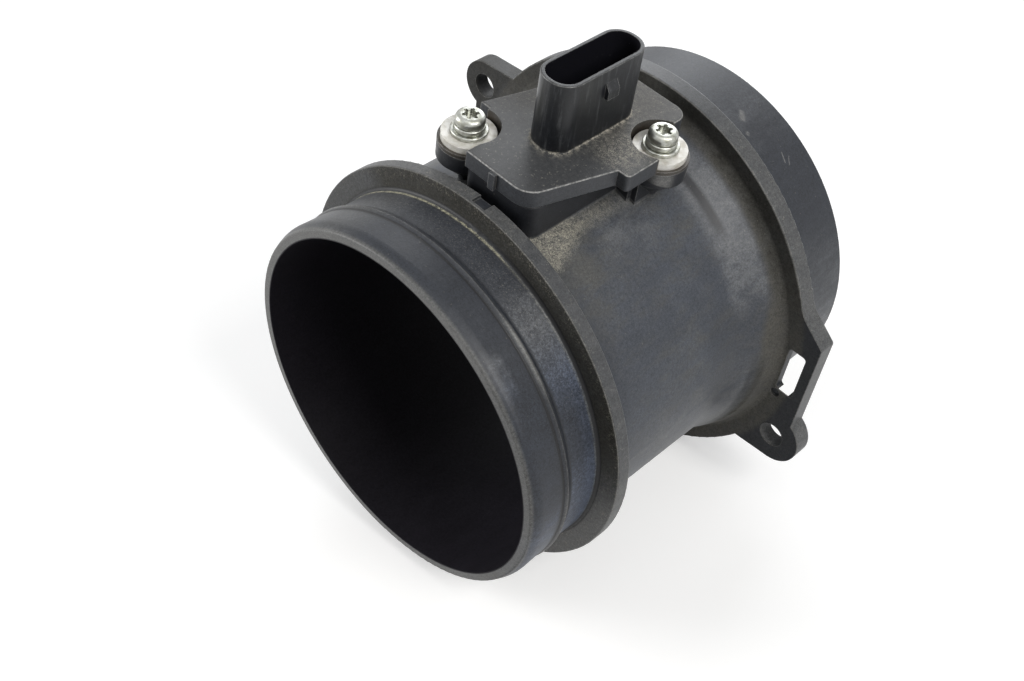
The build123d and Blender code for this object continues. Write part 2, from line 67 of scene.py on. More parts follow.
def floorFrame(setup):  # a point of the floor and its upward direction
    roll = math.radians(setup["roll"])
    down = Vector((math.sin(roll), 0, -math.cos(roll)))
    front = down * setup["frontRim"][0] + Vector((0, setup["frontRim"][1], 0))
    rear = down * setup["rearRim"][0] + Vector((0, setup["rearRim"][1], 0))
    along = (rear - front).normalized()
    up = along.cross(down).cross(along)
    return front, -up.normalized()


floorPoint, floorUp = floorFrame(floorSetup)
print("floor", tuple(round(v, 4) for v in floorUp))


class Wire:  # a socket that takes + - * / and **
    def __init__(self, paint, socket):
        self.paint = paint
        self.socket = socket

    def pick(self, name):  # another output of the same node
        return Wire(self.paint, self.socket.node.outputs[name])

    def join(self, operation, first, second):
        settings = {"operation": operation}
        return self.paint.node("ShaderNodeMath", settings, {0: first, 1: second})

    def __add__(self, other):
        return self.join("ADD", self, other)

    def __radd__(self, other):
        return self.join("ADD", other, self)

    def __sub__(self, other):
        return self.join("SUBTRACT", self, other)

    def __rsub__(self, other):
        return self.join("SUBTRACT", other, self)

    def __mul__(self, other):
        return self.join("MULTIPLY", self, other)

    def __rmul__(self, other):
        return self.join("MULTIPLY", other, self)

    def __truediv__(self, other):
        return self.join("DIVIDE", self, other)

    def __rtruediv__(self, other):
        return self.join("DIVIDE", other, self)

    def __pow__(self, other):
        return self.join("POWER", self, other)

    def __rpow__(self, other):
        return self.join("POWER", other, self)


class Paint:  # the nodes of a material or of the world
    def __init__(self, owner, inputs):
        owner.use_nodes = True
        self.owner = owner
        self.measures = {}
        self.look = {}
        self.tree = owner.node_tree
        shaders = self.tree.nodes
        self.surface = shaders.get("Principled BSDF") or shaders["Background"]
        self.feed(self.surface, inputs)

    def feed(self, node, inputs):
        for name, value in inputs.items():
            socket = node.inputs[name]
            if isinstance(value, Wire):
                self.tree.links.new(value.socket, socket)
            elif socket.type == "RGBA" and len(value) == 3:
                socket.default_value = (*value, 1)
            else:
                socket.default_value = value

    def node(self, kind, settings=None, inputs=None):
        made = self.tree.nodes.new(kind)
        for name, value in (settings or {}).items():
            setattr(made, name, value)
        self.feed(made, inputs or {})
        shown = [output for output in made.outputs if output.enabled]
        return Wire(self, shown[0])

    def place(self):  # the surface point, in millimetres
        spot = self.node("ShaderNodeTexCoord").pick("Object")
        return self.scaled(spot, 1000.0)

    def scaled(self, vector, factor):  # a point or a colour times a number
        inputs = {0: vector, "Scale": factor}
        return self.node("ShaderNodeVectorMath", {"operation": "SCALE"}, inputs)

    def drawn(self, spot, scales):  # a point with each axis scaled by itself
        inputs = {0: spot, 1: scales}
        return self.node("ShaderNodeVectorMath", {"operation": "MULTIPLY"}, inputs)

    def axes(self, spot):
        parts = self.node("ShaderNodeSeparateXYZ", {}, {"Vector": spot})
        return parts.pick("X"), parts.pick("Y"), parts.pick("Z")

    def facing(self):  # the surface's direction along the three axes
        return self.axes(self.node("ShaderNodeTexCoord").pick("Normal"))

    def noise(self, spot, size, detail=3.0, rough=0.5):  # size in millimetres
        return self.node(
            "ShaderNodeTexNoise", {},
            {"Vector": spot, "Scale": 1.0 / size, "Detail": detail, "Roughness": rough},
        )

    def step(self, value, low, high):  # rises smoothly from 0 at low to 1 at high
        return self.node(
            "ShaderNodeMapRange", {"interpolation_type": "SMOOTHSTEP"},
            {"Value": value, "From Min": low, "From Max": high},
        )

    def band(self, value, low, high, soft):  # 1 between low and high, with soft ends
        rise = self.step(value, low - soft, low + soft)
        return rise * (1 - self.step(value, high - soft, high + soft))

    def measureBy(self, measures, look):  # what rise() and area() read
        self.measures = measures
        self.look = look

    def rise(self, name):  # rises from 0 to 1 where the settings say
        measure, low, high = self.look["rises"][name]
        return self.step(self.measures[measure], low, high)

    def area(self, name):  # 1 inside all the limits of an area in the settings
        share = None
        for measure, limits in self.look["areas"][name].items():
            band = self.band(self.measures[measure], *limits)
            share = band if share is None else share * band
        return share

    def mix(self, share, first, second):
        made = self.tree.nodes.new("ShaderNodeMix")
        made.data_type = "RGBA"
        self.feed(made, {0: share, 6: first, 7: second})
        return Wire(self, made.outputs[2])

    def clamp(self, value):
        return self.node("ShaderNodeClamp", {}, {"Value": value})

    def most(self, value, other):  # the larger of two values
        return value.join("MAXIMUM", value, other)

    def size(self, value):  # a value without its sign
        return self.node("ShaderNodeMath", {"operation": "ABSOLUTE"}, {0: value})

    def corners(self, reach):  # 1 deep in a corner, 0 on an open face
        inputs = {"Distance": reach / 1000}
        return 1 - self.node("ShaderNodeAmbientOcclusion", {"samples": 8}, inputs).pick("AO")

    def edges(self, width):  # 1 along an edge
        rounded = self.node("ShaderNodeBevel", {"samples": 6}, {"Radius": width / 1000})
        flat = self.node("ShaderNodeNewGeometry").pick("Normal")
        inputs = {0: rounded, 1: flat}
        turn = self.node("ShaderNodeVectorMath", {"operation": "DOT_PRODUCT"}, inputs)
        return self.step(1 - turn, 0.02, 0.25)

    def stroke(self, first, second, start, end, width):  # a short mark in two coordinates
        length = math.dist(start, end)
        stepA, stepB = (end[0] - start[0]) / length, (end[1] - start[1]) / length
        along = (first - start[0]) * stepA + (second - start[1]) * stepB
        across = (second - start[1]) * stepA - (first - start[0]) * stepB
        soft = width * 0.4
        return self.band(along, 0, length, soft) * self.band(across, -width / 2, width / 2, soft)

    def dull(self, share, colour):  # a second surface without shine, where share is 1
        plain = self.node("ShaderNodeBsdfDiffuse", {}, {"Color": colour})
        shiny = Wire(self, self.surface.outputs[0])
        both = self.node("ShaderNodeMixShader", {}, {0: share, 1: shiny, 2: plain})
        self.feed(self.tree.nodes["Material Output"], {"Surface": both})

    def relief(self, height, radius, depth, strength):  # rounded edges and a grain
        soft = self.node("ShaderNodeBevel", {"samples": 4}, {"Radius": radius / 1000})
        inputs = {"Height": height, "Distance": depth / 1000, "Strength": strength, "Normal": soft}
        return self.node("ShaderNodeBump", {}, inputs)

    def seen(self):  # 1 for what the camera, metal and glass see, 0 for the light on the object
        rays = self.node("ShaderNodeLightPath")
        mirrored = rays.pick("Is Glossy Ray") + rays.pick("Is Transmission Ray")
        return self.clamp(rays.pick("Is Camera Ray") + mirrored)


def makeFloor(setup, point, up):
    mesh = bpy.data.meshes.new("floor")
    shape = bmesh.new()
    bmesh.ops.create_circle(shape, cap_ends=True, segments=setup["sides"], radius=setup["radius"])
    shape.to_mesh(mesh)
    shape.free()
    floor = bpy.data.objects.new("floor", mesh)
    level = up.to_track_quat("Z", "Y").to_matrix().to_4x4()
    floor.matrix_world = Matrix.Translation(point) @ level
    bpy.context.scene.collection.objects.link(floor)
    return floor


floorLook = {"white": (0.68, 0.68, 0.68), "glow": 0.46}


def paintFloor(look):
    inputs = {"Base Color": look["white"], "Roughness": 0.9, "Specular IOR Level": 0.0}
    paint = Paint(bpy.data.materials.new("paleFloor"), inputs)
    inputs = {"Color": (1, 1, 1), "Strength": paint.seen() * look["glow"]}
    glow = paint.node("ShaderNodeEmission", {}, inputs)
    shaded = Wire(paint, paint.surface.outputs[0])
    both = paint.node("ShaderNodeAddShader", {}, {0: shaded, 1: glow})
    paint.feed(paint.tree.nodes["Material Output"], {"Surface": both})
    return paint.owner


floor = makeFloor(floorSetup, floorPoint, floorUp)
floor.data.materials.append(paintFloor(floorLook))

worldLook = {"light": 0.0, "seen": 1.0}


def makeWorld(look):
    world = bpy.data.worlds.new("studio")
    bpy.context.scene.world = world
    paint = Paint(world, {"Color": (1, 1, 1)})
    strength = paint.seen() * (look["seen"] - look["light"]) + look["light"]
    paint.feed(paint.surface, {"Strength": strength})


makeWorld(worldLook)

lampSetup = {  # directions in degrees, turned from the camera's side and raised from the floor
    "rightLamp": {"turn": 40, "raise": 38, "size": 0.45, "power": 7.3, "tint": (1.0, 0.985, 0.96)},
    "backLamp": {"turn": 163, "raise": 30, "size": 0.6, "power": 5.6, "tint": (0.95, 0.975, 1.0)},
    "topLamp": {"turn": 0, "raise": 65, "size": 0.6, "power": 1.4, "tint": (1, 1, 1)},
    "leftLamp": {"turn": 270, "raise": 20, "size": 0.45, "power": 7.2, "tint": (1.0, 0.995, 0.98)},
}
lampTarget = Vector((0, 0.055, 0))
lampDistance = 1.0


def makeLamp(name, setup, target):
    toward = Vector(cameraSetup["place"]) - target
    toward = (toward - floorUp * toward.dot(floorUp)).normalized()
    side = floorUp.cross(toward)
    turn, lift = math.radians(setup["turn"]), math.radians(setup["raise"])
    level = toward * math.cos(turn) + side * math.sin(turn)
    aim = level * math.cos(lift) + floorUp * math.sin(lift)
    data = bpy.data.lights.new(name, "AREA")
    data.shape = "SQUARE"
    data.size = setup["size"]
    data.energy = setup["power"]
    data.color = setup["tint"]
    lamp = bpy.data.objects.new(name, data)
    lamp.location = target + aim * lampDistance
    lamp.rotation_euler = aim.to_track_quat("Z", "Y").to_euler()
    bpy.context.scene.collection.objects.link(lamp)


for lampName, lampData in lampSetup.items():
    makeLamp(lampName, lampData, lampTarget)
print("stage and lamps")

bpy.context.scene.view_settings.view_transform = "Standard"


def repaint(material, *starts):  # for the pieces whose names start so
    for name, piece in nodes.items():
        if name.startswith(starts):
            piece.data.materials.clear()
            piece.data.materials.append(material)


ductLook = {
    "clean": (0.021, 0.024, 0.031),
    "film": (0.062, 0.070, 0.086),  # thin dust over the middle of the duct
    "warm": (0.072, 0.072, 0.068),  # the same film where it is browner
    "haze": (0.108, 0.113, 0.122),  # thicker dust in soft patches, and partly painted light on the lower sides
    "cool": (0.090, 0.108, 0.150),  # the same dust on the right of the mouth, which is bluer
    # painted shade: the pad's walls under the plate's overhang
    "wall": (0.011, 0.012, 0.015),
    # painted shade: the bore is darker than the clean plastic outside
    "bore": (0.0105, 0.0095, 0.0125),
    "dust": (0.36, 0.34, 0.28),
    "line": (0.46, 0.44, 0.32),  # the dust in the corner before the front flange
    "mud": (0.080, 0.077, 0.068),
    "soot": (0.012, 0.012, 0.011),  # soot and painted shade, darkest in the flare's corner by the rear flange and on the flange faces
    # painted shade: near-black for the root of the front flange, the bead's roots and deep corners
    "crevice": (0.006, 0.006, 0.007),
    "rim": (0.125, 0.126, 0.124),
    # pale wear, also used for painted highlights on the rim bends and the bead's crest
    "worn": (0.24, 0.24, 0.235),
    "lip": (0.130, 0.130, 0.126),
    "shine": 0.32,
    "cornerReach": 2.5,
    "edgeWidth": 0.5,
    "relief": (0.3, 0.06, 0.65),  # rounding of the edges, depth of the grain and its strength
    "grains": {  # size in millimetres, detail and roughness of each pattern
        "fine": (0.32, 2, 0.7),
        "grain": (0.7, 3, 0.7),
        "crumb": (1.6, 4, 0.75),
        "blotch": (9, 5, 0.65),
        "cloud": (30, 3, 0.5),
        "speck": (0.6, 1),
    },
    "drawn": (1.0, 0.35, 1.0),  # draws the streaks out along the duct
    "streak": (3.2, 6, 0.75),
    # Places are in millimetres, "along" from the mouth, and angles in degrees round the duct from
    # the top to the right. A rise goes from 0 at the first number to 1 at the second.
    "rises": {
        "outside": ("radius", 46.1, 46.4),
        "flanges": ("radius", 48.9, 49.5),
        "lipEnd": ("along", 0.2, 1.2),
        "ringEnd": ("along", 8.5, 9.8),
        "nearFlange": ("along", 16.5, 19.5),
        "neckEnd": ("along", 21, 22),
        "spigot": ("along", 92.5, 93),
        "spigotWall": ("along", 93, 94),
        "spigotUpper": ("height", 30, 34),
        "rearFaceEnd": ("along", 87.3, 87.5),
        "flareRight": ("angle", 60, 76),
        "flareCorner": ("along", 83.8, 86.4),
        "ears": ("radius", 57.6, 59.5),
        "leftEar": ("radius", 58.4, 59.4),
        "pastLeftEar": ("across", -40, -25),
        "frontRim": ("radius", 54.2, 54.6),
        "frontBend": ("radius", 53.9, 54.3),
        "rearRim": ("radius", 57.6, 58.2),
        "rearBend": ("radius", 57.3, 57.7),
        "rearRimRight": ("angle", 0, 28),
        "padWall": ("radius", 48.7, 49.2),
        "padUpper": ("height", 36, 40),
        "upward": ("height", 10, 44),
        "tubeTop": ("height", 40, 44),
        "aboveTube": ("radius", 48.3, 48.8),
        "faceOuter": ("radius", 50.5, 54),
    },
    # An area lies between the first two numbers of each measure, and the third softens its ends.
    "areas": {
        "middle": {"along": (26.5, 83, 1.5)},
        "thinRight": {"along": (64, 84, 3), "angle": (60, 105, 8)},
        "thinFront": {"along": (26, 33, 3)},
        "shoulder": {"along": (73.5, 83.5, 2), "angle": (13, 63, 7)},
        "belly": {"angle": (84, 130, 12)},
        "seatSide": {"along": (46, 62, 5), "angle": (14, 30, 7)},
        "spigotWiped": {"angle": (22, 62, 12)},
        "spigotTop": {"angle": (-36, 6, 7)},
        "spigotLower": {"angle": (84, 130, 8)},
        "spigotDull": {"angle": (-28, 16, 7)},
        "neck": {"along": (13.4, 21.6, 0.3)},
        "neckUpper": {"angle": (25, 52, 7)},
        "neckLeft": {"angle": (-110, -20, 10)},
        "neckLower": {"angle": (76, 150, 8)},
        "neckRight": {"angle": (28, 112, 9)},
        "neckSpecks": {"along": (14, 21, 3)},
        "ringWiped": {"along": (1.5, 4.8, 0.4), "angle": (-36, 14, 5)},
        "ringPatch": {"along": (1.4, 5.4, 0.8), "angle": (33, 45, 3)},
        "ringLeft": {"angle": (-150, -24, 8)},
        "ringLower": {"angle": (86, 150, 8)},
        "mouthLeft": {"angle": (-150, -22, 8)},
        "mouthRight": {"angle": (42, 116, 10)},
        "mouthShade": {"angle": (38, 130, 12)},
        "frontFace": {"along": (21.9, 22.5, 0.12)},
        "faceLower": {"angle": (88, 200, 12)},
        "faceLeft": {"angle": (-120, -38, 8)},
        "faceUpper": {"angle": (-10, 78, 12)},
        "frontRim": {"along": (22.5, 26.4, 0.2)},
        "frontBend": {"along": (20, 27, 1)},
        "rimUpper": {"angle": (12, 80, 8)},
        "rearRim": {"along": (87.3, 92.3, 0.2)},
        "earFaces": {"along": (86.9, 87.2, 0.1)},
        "flareLower": {"along": (78.3, 82.6, 0.7), "angle": (84, 120, 6)},
        "padLength": {"along": (27, 78, 0.6)},
        "besidePad": {"drift": (17, 28, 2), "along": (26, 42, 5)},
        "underPad": {"across": (11, 15, 2), "along": (40, 57, 5)},
        "line": {"along": (20.95, 21.5, 0.2)},
        "lineUpper": {"angle": (-75, 12, 7)},
        "besideRoot": {"along": (16, 21.5, 0.3), "angle": (20, 116, 8)},
        "root": {"along": (21.75, 22.2, 0.1), "radius": (48, 49.4, 0.2)},
        "rootRight": {"along": (21.5, 22.3, 0.15), "angle": (17, 116, 8)},
        "beadFront": {"along": (9.7, 10.4, 0.12)},
        "beadBack": {"along": (12.9, 13.2, 0.1)},
        # painted highlight: where the bead's crest is lightened
        "crest": {"along": (10.8, 11.9, 0.5)},
        "crestUpper": {"angle": (28, 47, 5)},
        "crestLeft": {"angle": (-150, -34, 6)},
        "crestLower": {"angle": (82, 150, 8)},
    },
    "drift": 0.28,  # how far the dust beside the pad leans over
    "sootStart": 82.4,  # where the soot and painted shade of the flare begin, and how much earlier on the right
    "sootEarlier": 3.2,
    "sootBlur": 2.6,
    "sootMiddle": 5,  # the angle about which the soot and painted shade lie, and how far round they fade
    "sootFade": (35, 85),
    "sootRadius": 52.8,
    "marks": (  # start, end and width of the pale marks on the rear spigot, seen from above
        ((11.8, 105.9), (14.2, 103.6), 1.3),
        ((17.2, 102.3), (17.9, 101.5), 0.8),
        ((25.2, 107.4), (27.8, 106.5), 0.3),
        ((26.8, 108.9), (28.6, 107.3), 0.2),
    ),
}


def readDuct(paint, look):  # the measures and patterns by which the duct's dirt is placed
    spot = paint.place()
    x, y, z = paint.axes(spot)
    radius = (x * x + z * z) ** 0.5
    angle = paint.node("ShaderNodeMath", {"operation": "ARCTAN2"}, {0: x, 1: z}) * math.degrees(1)
    measures = {"across": x, "along": y, "height": z, "radius": radius, "angle": angle}
    measures["drift"] = x + y * look["drift"]
    paint.measureBy(measures, look)
    grains = {name: paint.noise(spot, *grain) for name, grain in look["grains"].items()}
    at = SimpleNamespace(**measures, **grains)
    at.streak = paint.noise(paint.drawn(spot, look["drawn"]), *look["streak"])
    at.outside = paint.rise("outside")
    at.flanges = paint.rise("flanges")
    at.front = 1 - paint.rise("neckEnd")  # the ring, bead and neck
    at.spigot = paint.rise("spigot")
    at.corner = paint.corners(look["cornerReach"])
    at.edge = paint.edges(look["edgeWidth"]) * (1 - at.corner) * at.outside
    at.face = paint.area("frontFace") * at.flanges
    at.lowerFace = at.face * paint.area("faceLower")
    at.leftFace = at.face * paint.area("faceLeft") * 0.6
    at.frontFace = at.face * (1 - at.lowerFace) * (1 - at.leftFace)
    at.leftEar = paint.rise("leftEar") * (1 - paint.rise("pastLeftEar"))
    at.middle = paint.area("middle") * at.outside
    return at


def ductFilm(paint, at, look):  # thin dust on the middle, browner in clouds
    thin = paint.area("thinRight") * 0.35 + paint.area("thinFront") * 0.5
    uneven = 0.6 + paint.step(at.blotch * 0.7 + at.cloud * 0.6, 0.5, 0.85) * 0.4
    film = at.middle * (1 - paint.clamp(thin)) * uneven
    warmth = paint.step(at.cloud * 0.5 + at.streak * 0.7, 0.5, 0.75) * 0.9
    return paint.mix(film, look["clean"], paint.mix(warmth, look["film"], look["warm"]))


def ductHaze(paint, at, look, colour):  # thicker dust in soft patches, and lighter lower sides that are partly dust and partly painted light from the floor below
    thick = paint.step(at.blotch * 0.5 + at.streak * 0.6 + at.crumb * 0.2, 0.5, 0.85)
    # partly painted light: the lower sides are lightened as if lit from the floor below
    low = (paint.area("belly") * 0.5 + paint.area("seatSide") * 0.7) * at.middle
    patch = paint.area("shoulder") * (0.35 + thick) + low * (0.25 + thick)

    spigot = 0.34 - paint.area("spigotWiped") * 0.31 - paint.area("spigotTop") * 0.2
    spigot = at.spigot * (spigot + paint.area("spigotLower") * 0.45)

    ring = 0.08 + paint.area("ringLeft") * 0.22 + paint.area("ringLower") * 0.5
    ring = ring + paint.area("ringPatch") * 0.6
    ring = ring * (1 - paint.rise("ringEnd")) * at.outside * (1 - paint.area("ringWiped") * 0.8)

    neck = 0.2 + paint.area("neckUpper") * 0.8 + paint.area("neckLeft") * 0.4
    neck = neck + paint.area("neckLower") * 0.85
    neck = neck + paint.rise("nearFlange") * paint.area("neckRight") * 0.4
    neck = neck * paint.area("neck") * at.outside
    neck = neck * (0.45 + paint.step(at.grain * 0.6 + at.crumb * 0.5, 0.42, 0.75) * 0.6)

    haze = patch + (spigot + ring) * (0.4 + thick * 1.2) + neck + at.leftFace
    left = paint.area("mouthLeft") * at.front * at.outside
    colour = paint.mix(left * 0.4, colour, look["warm"])
    right = paint.area("mouthRight") * at.front
    return paint.mix(paint.clamp(haze), colour, paint.mix(right, look["haze"], look["cool"]))


def ductDirt(paint, at, look, colour):  # brown dirt on the flange faces, with soot and painted shade that are darkest in the flare's corner
    mottle = 0.6 + paint.step(at.blotch * 0.6 + at.crumb * 0.5, 0.4, 0.7) * 0.4
    onset = look["sootStart"] - paint.rise("flareRight") * look["sootEarlier"]
    flare = paint.step(at.along - onset, 0, look["sootBlur"])
    flare = flare * (1 - paint.rise("rearFaceEnd")) * at.outside
    at.ears = paint.rise("ears") * paint.area("earFaces")
    # the corner mask gives brown dirt here, and painted shade in ductEdges
    at.cornerDirt = at.corner * (1 - paint.area("besideRoot"))
    faces = (at.frontFace + flare - at.ears * 0.75) * mottle
    at.dirt = paint.clamp(faces + at.cornerDirt * 0.6)
    colour = paint.mix(at.dirt, colour, look["mud"])
    colour = paint.mix(at.leftEar * mottle * 0.6, colour, look["mud"])

    upper = 1 - paint.step(paint.size(at.angle - look["sootMiddle"]), *look["sootFade"])
    onFace = 1 - 0.5 ** (paint.most(at.radius - look["sootRadius"], 0) / 0.6)
    deep = paint.rise("flareCorner") * (0.45 - onFace * 0.35)
    # soot with painted shade: on the upper flare, deepest in its corner by the rear flange, and on
    # the front flange face
    soot = flare * upper * (0.22 + deep * 1.35 + onFace * 0.36) * (1 - at.ears)
    soot = soot + paint.area("flareLower") * at.outside * 0.5
    soot = soot + at.frontFace * (0.42 + paint.area("faceUpper") * 0.26)
    at.soot = paint.clamp((soot + at.leftEar * 0.4) * mottle)
    return paint.mix(at.soot, colour, look["soot"])


def ductRims(paint, at, look, colour):  # scuffed rims of the flanges, and the pad's walls painted dark as shade under the plate
    rims = paint.rise("frontRim") * paint.area("frontRim") * (1 - paint.area("rimUpper") * 0.4)
    rear = paint.rise("rearRim") * paint.area("rearRim")
    rims = rims + rear * (0.45 + paint.rise("rearRimRight") * 0.45)
    at.rims = rims * (1 - at.leftEar) + at.lowerFace * 2.0
    scuffed = paint.clamp(at.rims * (at.blotch * 0.5 + at.streak * 0.7))
    colour = paint.mix(scuffed, colour, look["rim"])
    # painted shade on the pad's walls under the plate
    pad = paint.rise("padWall") * paint.area("padLength") * paint.rise("padUpper")
    return paint.mix(pad * (1 - at.edge), colour, look["wall"])


def ductDust(paint, at, look, colour):  # loose dust beside the pad, in the corners and in specks
    upward = paint.rise("upward")
    onTube = at.outside * (1 - paint.rise("aboveTube"))
    loose = (paint.area("besidePad") + paint.area("underPad") * 0.6) * paint.rise("tubeTop")
    loose = loose * onTube * paint.step(at.fine * 0.6 + at.crumb * 0.55, 0.38, 0.78)
    neck = paint.area("neckSpecks") * at.outside * upward * paint.step(at.fine, 0.55, 0.8)
    fleck = at.fine * 0.5 + at.crumb * 0.6
    rimSpeck = at.rims * paint.step(fleck, 0.6, 0.75)
    faceSpeck = at.frontFace * paint.rise("faceOuter") * paint.step(fleck, 0.57, 0.72)
    speck = paint.step(at.speck, 0.72, 0.8) * at.outside * (0.05 + upward * 0.15)
    dust = loose * 0.85 + neck * 0.3 + rimSpeck * 0.3 + faceSpeck * 0.35 + speck
    at.dust = paint.clamp(dust)
    colour = paint.mix(at.dust, colour, look["dust"])
    line = paint.area("line") * at.outside * (0.14 + paint.area("lineUpper") * 0.8)
    line = line * paint.step(at.crumb * 0.7 + at.fine * 0.4, 0.42, 0.62)
    return paint.mix(line * 0.85, colour, look["line"])


def ductEdges(paint, at, look, colour):  # painted shade as dark lines in the corners and at the bead, pale worn edges with painted highlights on the rim bends and the bead's crest, and the lip
    right = paint.area("rootRight") * at.outside * (1 - at.flanges)
    bead = (paint.area("beadFront") * 0.9 + paint.area("beadBack") * 0.5) * at.outside
    corner = paint.step(at.cornerDirt, 0.5, 0.95)
    # painted shade: dark lines at the front flange's root and on its right, at both roots of the
    # bead and in deep corners
    dark = (paint.area("root") + right) * 0.8 + bead + corner * 0.7
    colour = paint.mix(paint.clamp(dark), colour, look["crevice"])

    # painted highlight along the bead's crest, strongest on its upper right
    crest = 0.1 + paint.area("crestUpper") * 0.75 + paint.area("crestLeft") * 0.45
    crest = (crest + paint.area("crestLower") * 0.5) * paint.area("crest") * at.outside
    # painted highlight on the rounded bends of the flange rims, mixed with worn edges
    rims = paint.rise("rearBend") + paint.rise("frontBend") * paint.area("frontBend")
    bend = paint.band(paint.size(paint.facing()[1]), 0.35, 0.85, 0.15) * paint.clamp(rims)
    wearAndHighlight = at.edge * (0.3 + paint.step(at.crumb, 0.4, 0.6) * 0.5)
    wearAndHighlight = wearAndHighlight + bend * (0.1 + at.streak * 0.7) + crest
    colour = paint.mix(paint.clamp(wearAndHighlight), colour, look["worn"])
    lip = (1 - paint.rise("lipEnd")) * at.outside
    colour = paint.mix(lip * 0.75, colour, look["lip"])
    onSpigot = paint.rise("spigotWall") * paint.rise("spigotUpper")
    for start, end, width in look["marks"]:
        mark = paint.stroke(at.across + at.crumb, at.along, start, end, width) * onSpigot
        colour = paint.mix(mark * 0.5, colour, look["worn"])
    return colour


def paintDuct(look):
    paint = Paint(bpy.data.materials.new("ductPlastic"), {"Specular IOR Level": look["shine"]})
    at = readDuct(paint, look)
    colour = ductFilm(paint, at, look)
    for layer in (ductHaze, ductDirt, ductRims, ductDust, ductEdges):
        colour = layer(paint, at, look, colour)
    # painted shade inside the bore
    colour = paint.mix(1 - at.outside, colour, look["bore"])
    shade = paint.area("mouthShade") * at.front * 0.25
    grain = at.fine * 1.4 + at.grain * 1.4 + at.streak * 0.65
    colour = paint.scaled(colour, grain - 0.7 - shade)

    rough = 0.36 + at.blotch * 0.1 + at.streak * 0.1 + at.dust * 0.25 + at.dirt * 0.4
    rough = paint.clamp(rough + at.ears * 0.3)
    relief = paint.relief(at.fine * 0.6 + at.crumb * 0.5, *look["relief"])
    paint.feed(paint.surface, {"Base Color": colour, "Roughness": rough, "Normal": relief})
    dull = (1 - at.outside) + at.soot + at.spigot * paint.area("spigotDull") * 0.4
    paint.dull(paint.clamp(dull) * 0.6, colour)
    return paint.owner


moduleLook = {
    "top": (0.038, 0.040, 0.043),
    "rear": (0.054, 0.052, 0.049),  # the dusty rear half of the plate
    "side": (0.038, 0.041, 0.047),
    "socket": (0.007, 0.008, 0.010),
    "streak": (0.055, 0.058, 0.062),
    "dust": (0.34, 0.32, 0.27),
    "mud": (0.050, 0.042, 0.033),
    "dark": (0.008, 0.008, 0.011),
    # pale wear, also used for painted highlights on the plate's top edge and the socket's rim
    "worn": (0.40, 0.40, 0.39),
    "shine": 0.4,
    "cornerReach": 2.0,
    "edgeWidth": 0.35,
    "relief": (0.3, 0.04, 0.45),  # rounding of the edges, depth of the grain and its strength
    "grains": {  # size in millimetres, detail and roughness of each pattern
        "fine": (0.3, 2, 0.7),
        "grain": (0.6, 3, 0.7),
        "crumb": (1.4, 4, 0.75),
        "blotch": (7, 5, 0.65),
        "speck": (0.6, 1),
        "fleck": (0.9, 1),
    },
    "drawn": (1.0, 1.0, 0.12),  # draws the streaks out down the socket
    "streaks": (1.1, 3, 0.6),
    "shroud": (5.43, 14.3, 5.1, 55.6),  # half sizes, corner and middle of the socket
    "screws": ((-15.43, 34.76), (15.43, 66.44)),
    "recess": (6.1, 7.7, 0.3),  # the dirty wall of the round recess about each screw
    # Places are in millimetres. "gap" is measured outward from the wall of the socket.
    "rises": {
        "outer": ("height", 45, 50),
        "top": ("height", 61.0, 61.45),
        "socket": ("height", 61.7, 62.2),
        "socketRoot": ("height", 63, 70),
        "socketInner": ("height", 62, 70),
        "socketRim": ("height", 79, 79.4),
        "rimBend": ("height", 79.3, 79.5),
        "rear": ("rearward", 50, 66),
        "right": ("across", 4, 12),
        "pastLeft": ("leftward", 2, 9),
        "wall": ("gap", -1.0, -0.85),
    },
    # An area lies between the first two numbers of each measure, and the third softens its ends.
    "areas": {
        "besideRecess": {"across": (9, 18, 3), "along": (50, 61, 3)},
        "plateBend": {"height": (60.9, 61.6, 0.1)},
    },
    "rearLean": -0.3,
    "leftLean": 0.3,
    "rearWaves": 12,
}


def readModule(paint, look):  # the measures and patterns by which the sensor's dirt is placed
    spot = paint.place()
    x, y, z = paint.axes(spot)
    halfWidth, halfLength, corner, middle = look["shroud"]
    acrossGap = paint.most(paint.size(x) - (halfWidth - corner), 0)
    alongGap = paint.most(paint.size(y - middle) - (halfLength - corner), 0)
    gap = (acrossGap * acrossGap + alongGap * alongGap) ** 0.5 - corner
    grains = {name: paint.noise(spot, *grain) for name, grain in look["grains"].items()}
    measures = {"across": x, "along": y, "height": z, "gap": gap}
    measures["rearward"] = y + grains["blotch"] * look["rearWaves"] + x * look["rearLean"]
    measures["leftward"] = x + y * look["leftLean"]
    paint.measureBy(measures, look)
    at = SimpleNamespace(**measures, **grains)
    at.streaks = paint.noise(paint.drawn(spot, look["drawn"]), *look["streaks"])
    at.pits = paint.corners(look["cornerReach"])
    at.edge = paint.edges(look["edgeWidth"])
    at.outer = paint.rise("outer")
    at.top = paint.rise("top")
    at.socket = paint.rise("socket")
    at.wall = at.outer * (1 - at.top)
    at.inside = (1 - paint.rise("wall")) * at.socket
    return at


def plateDirt(paint, at, look):  # clean and dark in front, dusty behind, brown on the walls
    colour = paint.mix(at.top, look["side"], look["top"])
    at.rear = paint.rise("rear") * at.top * (0.85 - paint.rise("right") * 0.35)
    at.left = (1 - paint.rise("pastLeft")) * at.top * 0.2
    dusty = paint.clamp((at.rear + at.left) * (0.5 + at.grain * 0.8))
    colour = paint.mix(dusty, colour, look["rear"])
    dirt = at.wall * paint.step(at.pits, 0.25, 0.7)
    for screwX, screwY in look["screws"]:
        acrossX = at.across - screwX
        acrossY = at.along - screwY
        away = (acrossX * acrossX + acrossY * acrossY) ** 0.5
        dirt = dirt + paint.band(away, *look["recess"]) * at.wall
    return paint.mix(paint.clamp(dirt * (0.4 + at.crumb * 0.8)), colour, look["mud"])


